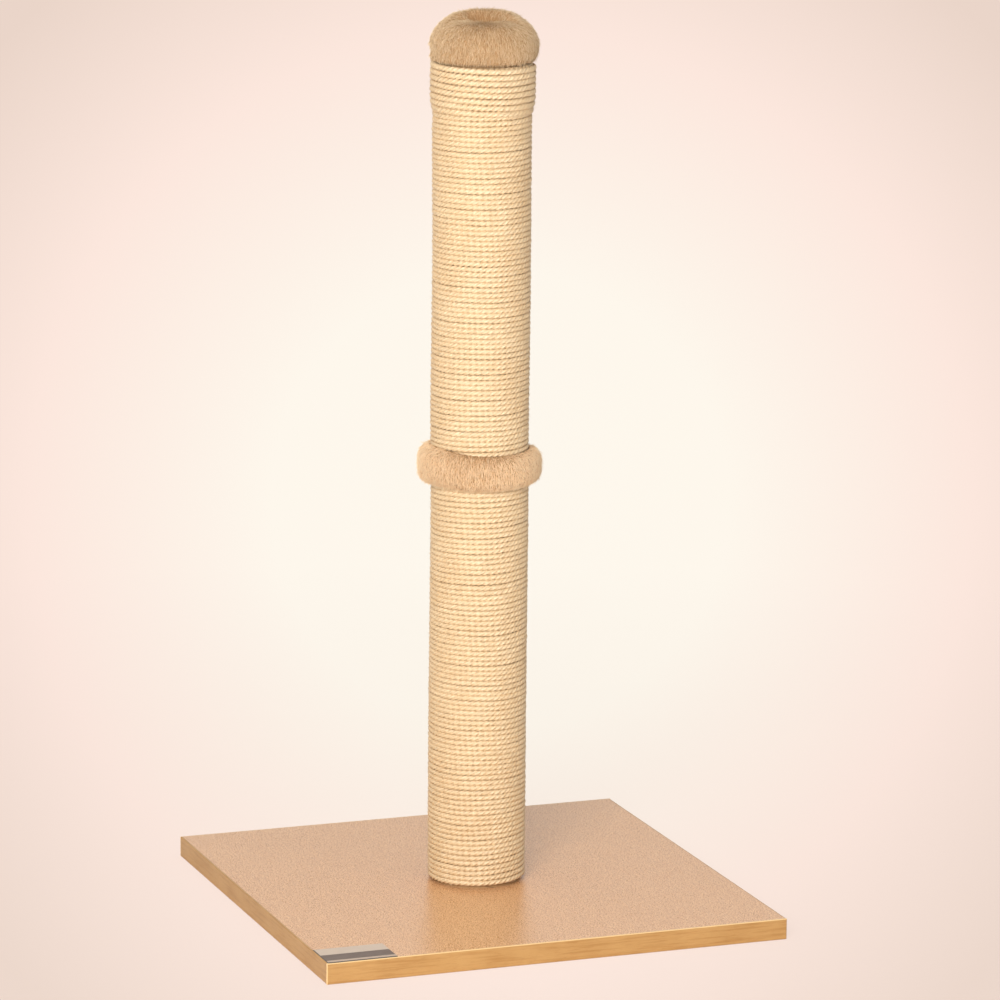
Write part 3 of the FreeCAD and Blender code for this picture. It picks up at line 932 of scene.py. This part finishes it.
def dress_cover(name, mesh, node, thickness):
    """The cover as a closed piece: its skin gets a thickness inwards."""
    piece = show(name, mesh.copy())
    piece.data.materials.append(plush_back)
    skin = piece.modifiers.new("Thickness", "SOLIDIFY")
    skin.thickness, skin.offset, skin.use_rim = thickness, -1.0, True
    made = bpy.data.meshes.new_from_object(evaluated(piece))
    piece.modifiers.clear()
    piece.data = made
    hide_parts(node)
    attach(piece, "root")


def dress_pile(name, mesh, hair, density, lift, seed):
    """Two coats of pile: a dense short undercoat, and longer hairs over it."""
    for coat, own_seed, length, width in (("undercoat", 1, 0.72, 1.15), ("coat", 2, 1.0, 1.0)):
        piece = grow(f"{name}_{coat}", mesh, hairs, Hairs_per_square_metre=density, Lift=lift,
                     Hair_length=5.8 * MM * length, Hair_width=0.56 * MM * width, Scatter=0.36,
                     Clumping=0.26, Clump_size=3.2 * MM, Droop=0.5, Seed=seed + own_seed, Material=hair)
        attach(piece, "root")


# %% Collar cover
collar_low, collar_high = low_high("collar_plush")
collar_middle = (collar_low + collar_high) / 2
collar_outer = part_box("collar_plush")[1].x - pile_depth - puff
seam_radius = tube_radius + rope_thickness - 0.3 * MM
hem_radius = tube_radius + rope_thickness + 0.8 * MM
seam_half = (collar_high - collar_low) / 2 - pile_depth


def collar_points():
    """Rings from the lower seam over the bulge to the upper seam."""
    rings = 30
    swell = np.linspace(-math.pi / 2, math.pi / 2, rings)
    fullness = np.abs(np.cos(swell))
    # Powers below 1 make the bulge squarer than an ellipse.
    r = seam_radius + (collar_outer - seam_radius) * fullness ** 0.8
    z = np.sign(swell) * np.abs(np.sin(swell)) ** 0.84
    uneven_out = waves(angles, (0.3 * MM, 0.5 * MM, 0.25 * MM, 0.3 * MM, 0.2 * MM), 5)
    uneven_up = waves(angles, (0.5 * MM, 0.4 * MM, 0.4 * MM, 0.3 * MM), 8)
    r = r[:, None] + uneven_out * fullness[:, None]
    # The cloth reaches a little further up than down, most of all on the left.
    left = 0.5 - 0.5 * np.sin(away_angle - angles)
    reach = np.where(z[:, None] > 0, seam_half + 5.0 * MM * left ** 2, seam_half + 1.4 * MM)
    z = collar_middle + z[:, None] * reach + uneven_up
    return turned(r, angles, z), rings, fullness


points, rings, fullness = collar_points()
faces = ring_faces(rings, SIDES)
held = np.zeros(len(points))
held[:SIDES] = held[-SIDES:] = 1.0
points = puffed(points, faces, held)
comb = downward(points, rings)
grown = np.repeat(0.7 + 0.3 * smooth(fullness / 0.45), SIDES)
collar_mesh = cover_mesh("collar_cover_skin", points, faces, comb, grown)
dress_cover("collar_plush_cover", collar_mesh, "collar_plush", 1.2 * MM)
dress_pile("collar_plush", collar_mesh, collar_hair_painted_light, density=520000.0, lift=0.44, seed=4)

# %% [markdown]
# ## Foam
# Open-cell foam lies under both covers: a strip round the collar's disc, and a ring on the cap's
# disc that leaves room for the bolt and for the crease above it.

# %% Foam rings
def foam_finish():
    material, tree, shader, place = new_finish("cream_foam", Roughness=0.95)
    cells = add(tree, "ShaderNodeTexVoronoi", {"Vector": place, "Scale": 900.0}).outputs["Distance"]
    patch = use(tree, mottle, Vector=place, Patch_size=20 * MM)
    colour = tint(tree, patch, paint(236, 228, 204), paint(226, 214, 186))
    # Painted shade: the middle of each cell, where the bump sinks a pore, is darker.
    wear(tree, shader, tint(tree, spread(tree, cells, 0.1, 0.5, 0.5, 0.0), colour, paint(170, 154, 122)))
    relief(tree, shader, cells, 0.6 * MM)
    return material


foam = foam_finish()


def foam_ring(node, inner, slack_out, slack_up=0.0):
    """Ring of foam with a softly squared section, a little less wide and high than its node."""
    low, high = low_high(node)
    high -= slack_up
    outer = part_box(node)[1].x - slack_out
    sides = 28
    section = np.arange(sides) * 2 * math.pi / sides
    across, up = (np.sign(f(section)) * np.abs(f(section)) ** 0.72 for f in (np.cos, np.sin))
    radius = (inner + outer) / 2 + (outer - inner) / 2 * across
    level = (low + high) / 2 + (high - low) / 2 * up
    round_post = angles[::2]
    rings = len(round_post)
    points = turned(radius, round_post[:, None], level)
    last = (rings - 1) * sides
    faces = ring_faces(rings, sides)
    faces += [(last + k, last + (k + 1) % sides, (k + 1) % sides, k) for k in range(sides)]
    mesh = smooth_mesh(node + "_foam", points, [face[::-1] for face in faces])
    mesh.materials.append(foam)
    piece = show(node + "_foam", mesh)
    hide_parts(node)
    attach(piece, "root")
    print(node + "_foam from", round(inner / MM, 1), "to", round(outer / MM, 1), "mm from the middle")


foam_ring("collar_padding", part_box("collar_disc")[1].x + 0.3 * MM, slack_out=0.6 * MM)
foam_ring("cap_padding", 12 * MM, slack_out=2 * MM, slack_up=7 * MM)

# %% [markdown]
# ## Stray fibres
# Sisal is hairy: short ends stand off every turn and soften its outline. They grow from a thin
# sleeve that lies just inside the rope's surface and isn't kept, mostly along the turns.

# %% Stray fibres
fibre_foot = first_layer + 0.3 * half_rope
ring_gap = 4 * MM


def straw_finish():
    material, tree, shader = new_finish("sisal_ends", Roughness=0.5, IOR=1.6)[:3]
    colour = tint(tree, carried(tree, "shade"), paint(222, 184, 134), paint(254, 240, 212))
    wear(tree, shader, glaze(tree, colour, carried(tree, "tip"), 0.3, (255, 246, 226)))
    return material


def sleeve(name, low, high, stand_out):
    """Thin sleeve round the post, wider where the second layer is. Its comb runs round the post."""
    levels = np.arange(low, high, ring_gap)
    widening = upper_high - (overwrap_turns + 1) * overwrap_pitch
    radius = fibre_foot + stand_out * smooth((levels - widening) / (2 * overwrap_pitch))[:, None]
    points = turned(radius, angles, levels[:, None])
    comb = turned(1.0, angles + math.pi / 2, 0.0)
    faces = ring_faces(len(levels), SIDES)
    return cover_mesh(name, points, faces, np.tile(comb, (len(levels), 1)), np.ones(len(points)))


straw = straw_finish()
for side, low, high, stand_out, seed in (("lower", lower_low, lower_high, 0.0, 31),
                                         ("upper", upper_low, upper_high, overwrap_rise, 41)):
    skin = sleeve(side + "_sleeve", low, high, stand_out)
    piece = grow(side + "_rope_fibres", skin, hairs, Hairs_per_square_metre=66000.0,
                 Hair_length=8 * MM, Hair_width=0.28 * MM, Lift=0.3, Scatter=0.34, Clumping=0.1,
                 Droop=0.35, Seed=seed, Material=straw)
    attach(piece, "root")

# %% [markdown]
# ## Cap
# The cap is a dome whose cloth is drawn down in the middle by a bolt. In the photograph the
# hollow is a crease that lies across the view, with a high lip behind it and a low one in front.
# So the dome is a turned profile from which a shelf and a narrow slit are taken away.

# %% Cap cover
cap_low, cap_high = low_high("cap_plush")
cap_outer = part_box("cap_plush")[1].x - pile_depth - puff
brow = cap_low + 15 * MM
crest = cap_high + 2 * MM - pile_depth
held_rings = 12


def dome():
    """Rings of points from the hem over the shoulder to the crest, and how full the pile is."""
    crest_radius = 11 * MM
    tuck = np.linspace(-math.pi / 2, 0, 9)[:-1]
    rise = np.linspace(0, math.pi / 2, 26)
    inner = np.linspace(1, 0, 13)[1:-1]
    # The power above 1 makes the shoulder slope more than a ball's does.
    slope = 1.15
    r = np.concatenate([
        hem_radius + (cap_outer - hem_radius) * np.cos(tuck),
        crest_radius + (cap_outer - crest_radius) * np.abs(np.cos(rise)) ** slope,
        crest_radius * inner,
    ])
    z = np.concatenate([
        brow + (brow - cap_low + 0.8 * MM) * np.sin(tuck),
        brow + (crest - brow) * np.sin(rise) ** slope,
        np.full(len(inner), crest),
    ])
    grown = 0.6 + 0.4 * smooth((z - cap_low) / (6 * MM))[:, None]
    r = r[:, None] + waves(angles, (0.4 * MM, 0.5 * MM, 0.3 * MM, 0.3 * MM), 21) * grown
    z = z[:, None] + 0 * r
    # The dome sits a little to the right of the rope, and is drawn in further on its left.
    left = smooth(-np.sin(away_angle - angles))
    drawn_in = 2.6 * MM * left * smooth((brow - z) / (7 * MM))
    r = np.maximum(r - drawn_in, np.minimum(r, hem_radius))
    shift = 1.6 * MM * smooth((z - cap_low) / (12 * MM))
    x = r * np.cos(angles) + shift * math.sin(away_angle)
    y = r * np.sin(angles) - shift * math.cos(away_angle)
    return x, y, z, grown


def creased(x, y, z, grown):
    """The dome's heights and pile with the crease taken away: a shelf in front, and a slit."""
    away = x * math.cos(away_angle) + y * math.sin(away_angle)
    right = x * math.sin(away_angle) - y * math.cos(away_angle)
    shelf_drop, shelf_softness = 12.5 * MM, 2.5 * MM
    slit_depth, slit_reach, slit_width, slit_slant = 11 * MM, 17 * MM, 4 * MM, 0.16
    back = smooth((away + 1 * MM) / (15 * MM) + (right / (34 * MM)) ** 2)
    over = z - (crest - shelf_drop * (1 - back))
    cut = 0.5 * (over + np.sqrt(over ** 2 + shelf_softness ** 2) - 1.2 * MM)
    z = z - cut * smooth((z - brow) / (14 * MM))
    across = (away - 2 * MM + right * slit_slant) / slit_width
    slit = np.exp(-(right / slit_reach) ** 4 - across ** 2)
    return z - slit_depth * slit, grown * (1 - 0.97 * slit ** 0.7)


def cap_points():
    """The cap's points ring by ring and then the pole, the number of rings, and the pile's share."""
    x, y, z, grown = dome()
    z, grown = creased(x, y, z, grown)
    points = np.stack([x, y, z], -1).reshape(-1, 3)
    pole = [0, 0, points[-SIDES:, 2].mean()]
    return np.vstack([points, pole]), len(z), np.append(grown.ravel(), 0.0)


points, rings, grown = cap_points()
faces = ring_faces(rings, SIDES, pole=True)
held = np.zeros(len(points))
held[:SIDES] = 1.0
held[-held_rings * SIDES:] = 1.0
points = puffed(points, faces, held)
comb = np.vstack([downward(points[:-1], rings), [0, 0, 1]])
cap_mesh = cover_mesh("cap_cover_skin", points, faces, comb, grown)
dress_cover("cap_plush_cover", cap_mesh, "cap_plush", 1.0 * MM)
dress_pile("cap_plush", cap_mesh, cap_hair, density=470000.0, lift=0.38, seed=9)

# %% [markdown]
# ## Camera, floor and light
# The camera stands where the photograph was taken from, a long lens about five and a half
# metres away. The light is plain and soft: one large lamp near the camera and a little to its
# left, a weaker one to the right, and a pale room. The floor is pale and keeps a soft shadow.

# %% Camera
tilt, roll, swing = 78.0185, -0.5194, -20.3562
lens_length = 193.59
camera = show("photo_camera", bpy.data.cameras.new("photo_camera"))
camera.location = eye
camera.rotation_euler = Euler([math.radians(a) for a in (tilt, roll, swing)])
camera.data.lens = lens_length
camera.data.clip_end = 60.0
scene.camera = camera
print("camera at", tuple(eye), "lens", camera.data.lens, "mm")

# %% Lamps
def softbox(name, place, aim, width, power, colour):
    lamp = bpy.data.lights.new(name, "AREA")
    lamp.size, lamp.energy, lamp.color = width, power, colour
    holder = show(name, lamp)
    holder.location = place
    holder.rotation_euler = (Vector(aim) - Vector(place)).to_track_quat("-Z", "Y").to_euler()


middle = (0.0, 0.0, 0.45)
softbox("key_softbox", (-2.05, -3.45, 2.0), middle, 2.0, 190.0, (1.0, 0.97, 0.93))
softbox("fill_softbox", (1.6, -3.4, 1.4), middle, 1.8, 2.0, (1.0, 0.98, 0.96))

# %% Room and floor
def any_of(tree, *names):
    """1 where a ray is one of these kinds."""
    rays = add(tree, "ShaderNodeLightPath")
    value = rays.outputs[names[0]]
    for name in names[1:]:
        value = calc(tree, "MAXIMUM", value, rays.outputs[name])
    return value


def pale_room():
    """Backgrounds: one is seen, one that darkens to the sides is mirrored, one lights the object."""
    world = bpy.data.worlds.new("pale_room")
    world.use_nodes = True
    tree = world.node_tree
    tree.nodes.clear()
    look = add(tree, "ShaderNodeTexCoord").outputs["Generated"]
    ahead = camera.rotation_euler.to_matrix() @ Vector((0.0, 0.0, -1.0))
    inline = vector_calc(tree, "DOT_PRODUCT", look, tuple(ahead))
    angle = calc(tree, "ARCCOSINE", calc(tree, "MINIMUM", inline, 1.0))
    picture_corner = 0.125
    wall = colour_steps(tree, spread(tree, angle, 0.0, picture_corner), (
        (0.0, (254, 248, 237)), (0.34, (254, 247, 236)), (0.7, (252, 231, 221)), (1.0, (234, 213, 201))))
    height = split(tree, look)["Z"]
    seen, mirrored, lights = (
        add(tree, "ShaderNodeBackground", {0: colour, 1: strength}).outputs[0] for colour, strength in (
            (wall, 1.0),
            ((1.0, 0.96, 0.92, 1.0), spread(tree, angle, 0.5, 1.3, 1.06, 0.3)),
            ((1.0, 0.95, 0.9, 1.0), spread(tree, height, 0.0, 0.9, 0.06, 0.78)),
        ))
    shiny = any_of(tree, "Is Glossy Ray", "Is Transmission Ray")
    unseen = add(tree, "ShaderNodeMixShader", {0: shiny, 1: lights, 2: mirrored}).outputs[0]
    room = add(tree, "ShaderNodeMixShader", {0: any_of(tree, "Is Camera Ray"), 1: unseen, 2: seen})
    add(tree, "ShaderNodeOutputWorld", {0: room.outputs[0]})
    scene.world = world


def floor_finish():
    """Pale matt floor. Towards its rim it lets the room behind show, so that no edge is seen."""
    material = bpy.data.materials.new("pale_floor")
    material.use_nodes = True
    tree = material.node_tree
    tree.nodes.clear()
    place = add(tree, "ShaderNodeTexCoord").outputs["Object"]
    fade_start, fade_end, least_clear = 0.4, 1.6, 0.86
    far = spread(tree, vector_calc(tree, "LENGTH", place), fade_start, fade_end, least_clear, 1.0)
    clear = calc(tree, "MULTIPLY", any_of(tree, "Is Camera Ray"), far)
    matt = add(tree, "ShaderNodeBsdfDiffuse", {0: paint(246, 236, 228)})
    glass = add(tree, "ShaderNodeBsdfTransparent")
    mixed = add(tree, "ShaderNodeMixShader", {0: clear, 1: matt.outputs[0], 2: glass.outputs[0]})
    add(tree, "ShaderNodeOutputMaterial", {0: mixed.outputs[0]})
    return material


def floor_disc(radius, sides=96):
    """Round floor just below the board, so that their faces don't coincide."""
    level = -0.2 * MM
    around = [2 * math.pi * k / sides for k in range(sides)]
    mesh = bpy.data.meshes.new("floor")
    mesh.from_pydata([(radius * math.cos(a), radius * math.sin(a), level) for a in around], [],
                     [tuple(range(sides))])
    mesh.materials.append(floor_finish())
    show("floor", mesh)


pale_room()
floor_disc(6.0)
scene.view_settings.view_transform = "Standard"
print("world:", scene.world.name, "| view:", scene.view_settings.view_transform)
